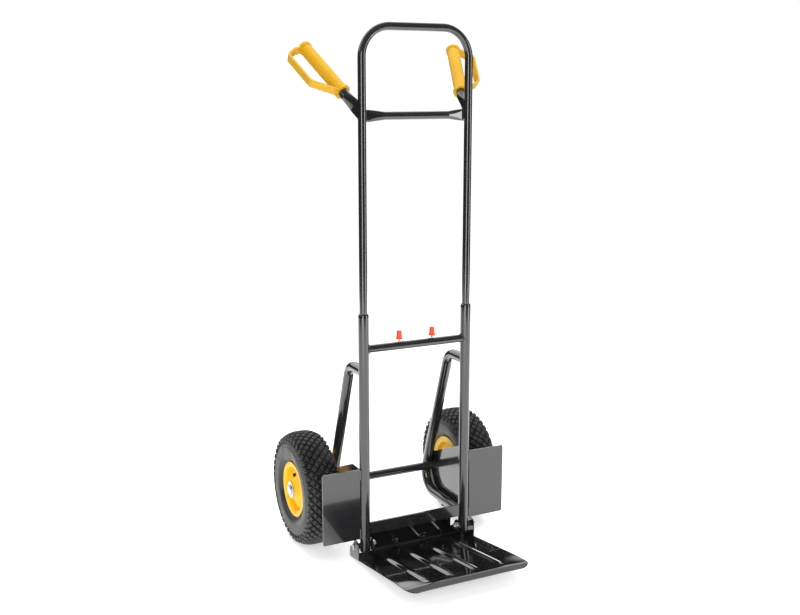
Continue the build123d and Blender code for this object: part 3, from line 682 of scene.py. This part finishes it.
border = (PLATE_HALF - inset)[:, None] * (1 - np.abs(across))
roll = 0.8 * MM * (1 - np.clip(border / (1.2 * MM), 0, 1)) ** 2
from_corner = np.hypot(PLATE_HALF - np.abs(x), (run[-1] - LIP_RUN - run)[:, None])
# The front corners droop a little, as the lip runs round them.
CORNER_DROOP, DROOP_REACH = 2.0 * MM, 60 * MM
droop = CORNER_DROOP * (1 - fade(from_corner, DROOP_REACH))
top = path[:, None] + up[:, None] * (RIB_HIGH * ribs - roll - droop)[..., None]
top[..., 0] = x
plate = Clay()
column, row = (np.gradient(top, axis=k)[5, 5] for k in (1, 0))
sheet(plate, top, -SHEET if np.cross(column, row)[2] < 0 else SHEET)

# The flange, its two bosses, and the ears.
path, ways = bent_path([(0, HEEL_Y - 16 * MM, SKIN + 13.6 * MM * tan(RISE) + 0.1 * MM),
                        (0, HEEL_Y - SHEET, SKIN + 0.2 * MM),
                        (0, HEEL_Y - SHEET, FLANGE_TOP)], (6 * MM,), 6 * MM, 8.0)
x = np.linspace(-FLANGE_HALF, FLANGE_HALF, 60)
face = np.repeat(path[:, None], len(x), 1)
face[..., 0] = x
back = np.cross(ways, (1.0, 0, 0))
behind = face + back[:, None] * SHEET * np.sign(back[-1, 1])
plate.grid(np.concatenate([face, behind[:, ::-1]], 1))
BOSS_X, BOSS_Z, BOSS_R, BOSS_HOLE_R, BOSS_HIGH = 35 * MM, 15 * MM, 8 * MM, 3.5 * MM, 2.4 * MM
boss = rounded_profile([(0, BOSS_HOLE_R), (BOSS_HIGH, BOSS_HOLE_R),
                        (BOSS_HIGH, BOSS_R), (0, BOSS_R)], 1.0 * MM)
for s in (-1, 1):
    centre = (s * BOSS_X, HEEL_Y - SHEET, BOSS_Z)
    plate.grid(turned(boss, centre, (0, -1, 0), 40), cap=(False, False))
EAR_R, PIVOT_Z = 14.5 * MM, 36 * MM
t = np.linspace(0, pi, 17)[:, None]
dome = np.concatenate([0 * t, TUBE_Y + EAR_R * np.cos(t), PIVOT_Z + EAR_R * np.sin(t)], 1)
foot = np.array([(0, TUBE_Y - EAR_R, SKIN / 2 + (HEEL_Y - TUBE_Y + EAR_R) * tan(RISE)),
                 (0, HEEL_Y, SKIN / 2), (0, HEEL_Y, 24 * MM)])
outline = np.concatenate([dome, foot])
for s in (-1, 1):
    for x in (PLATE_HALF - SHEET, FLANGE_HALF):
        plate.slab(outline + (s * x, 0, 0), (s * SHEET, 0, 0))
stand_for(plate.made("toe_plate_pressing", plate_paint, 35), "toe_plate", "toe_plate",
          slot="plate_paint")

# %% [markdown]
# ## Camera, floor and light
# The view is from the left front at chest height, looking slightly down. Two tall soft boxes draw
# the double highlight along the dark tubes, and two wide ones, which no glossy surface mirrors,
# fill in the rest.

# %% Camera
EYE_SPOT = (-1.0207, -1.9793 + TUBE_Y, 1.0291)
LOOKING_DOWN, TURNED_RIGHT, LENS, SENSOR = 11.841, 26.403, 47.24, 36.0
camera = bpy.data.cameras.new("viewing_camera")
camera.lens = LENS
camera.sensor_width = SENSOR
eye = bpy.data.objects.new("viewing_camera", camera)
bpy.context.scene.collection.objects.link(eye)
eye.location = EYE_SPOT
eye.rotation_euler = (radians(90 - LOOKING_DOWN), 0, radians(-TURNED_RIGHT))
bpy.context.scene.camera = eye
print("camera at", EYE_SPOT, "with a lens of", LENS, "mm")

# %% Floor, world and soft boxes
FLOOR_HALF, TENT_WHITE = 2.8, 1.07
ground = FLOOR_HALF * np.array([[(-1.0, -1.0, 0), (1.0, -1.0, 0)],
                                [(-1.0, 1.0, 0), (1.0, 1.0, 0)]])
bench = Bench("pale_floor")
bench.set(Base_Color=(0.9, 0.9, 0.9), Roughness=0.9, Specular_IOR_Level=0.1,
          Emission_Color=(1.0, 1.0, 1.0, 1.0), Emission_Strength=0.50)
floor = Clay().grid(ground, wrap_columns=False).made("floor", bench.material)

# The eye meets a white tent; everything else meets a dark hall that is bright high up at the back.
bench = Bench("tent", world=True)
light_path = bench.node("LightPath")
heading = bench.node("SeparateXYZ", {}, {0: bench.place})
behind = heading["Y"].ramp(-0.1, 0.3, 0.10, 1.0)
hall = heading["Z"].ramp(0.18, 0.32, 0.02, 1.5) * heading["Z"].ramp(0.55, 0.85, 1.0, 0.7) * behind
seen = light_path["Is Camera Ray"]
bench.feed(bench.shader.inputs[0], (1.0, 1.0, 1.0, 1.0))
bench.feed(bench.shader.inputs[1], seen * TENT_WHITE + (1.0 - seen) * hall)
bpy.context.scene.world = bench.material


def soft_box(name, spot, aim, width, height, watts, mirrored=True):
    """A rectangular area light at spot, turned towards aim; mirrored in glossy surfaces or not."""
    lamp = bpy.data.lights.new(name, "AREA")
    lamp.shape, lamp.size, lamp.size_y, lamp.energy = "RECTANGLE", width, height, watts
    rig = bpy.data.objects.new(name, lamp)
    bpy.context.scene.collection.objects.link(rig)
    rig.location = spot
    rig.visible_camera = False
    rig.visible_glossy = mirrored
    rig.rotation_euler = (Vector(aim) - Vector(spot)).to_track_quat("-Z", "Y").to_euler()
    print("light", name, watts, "W")


soft_box("strip_by_the_camera", (-1.85, -2.4, 0.85), (0, 0, 0.85), 0.80, 1.7, 26)
soft_box("strip_on_the_right", (2.3, -2.0, 0.85), (0, 0, 0.85), 0.70, 1.7, 24)
soft_box("fill_overhead", (0.3, 0.2, 3.0), (0, 0, 0), 2.2, 2.2, 60, mirrored=False)
soft_box("fill_in_front", (-1.2, -2.8, 2.2), (0, 0, 0.6), 2.4, 2.4, 55, mirrored=False)
bpy.context.scene.view_settings.view_transform = "Standard"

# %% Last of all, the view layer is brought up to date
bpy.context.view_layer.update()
import json
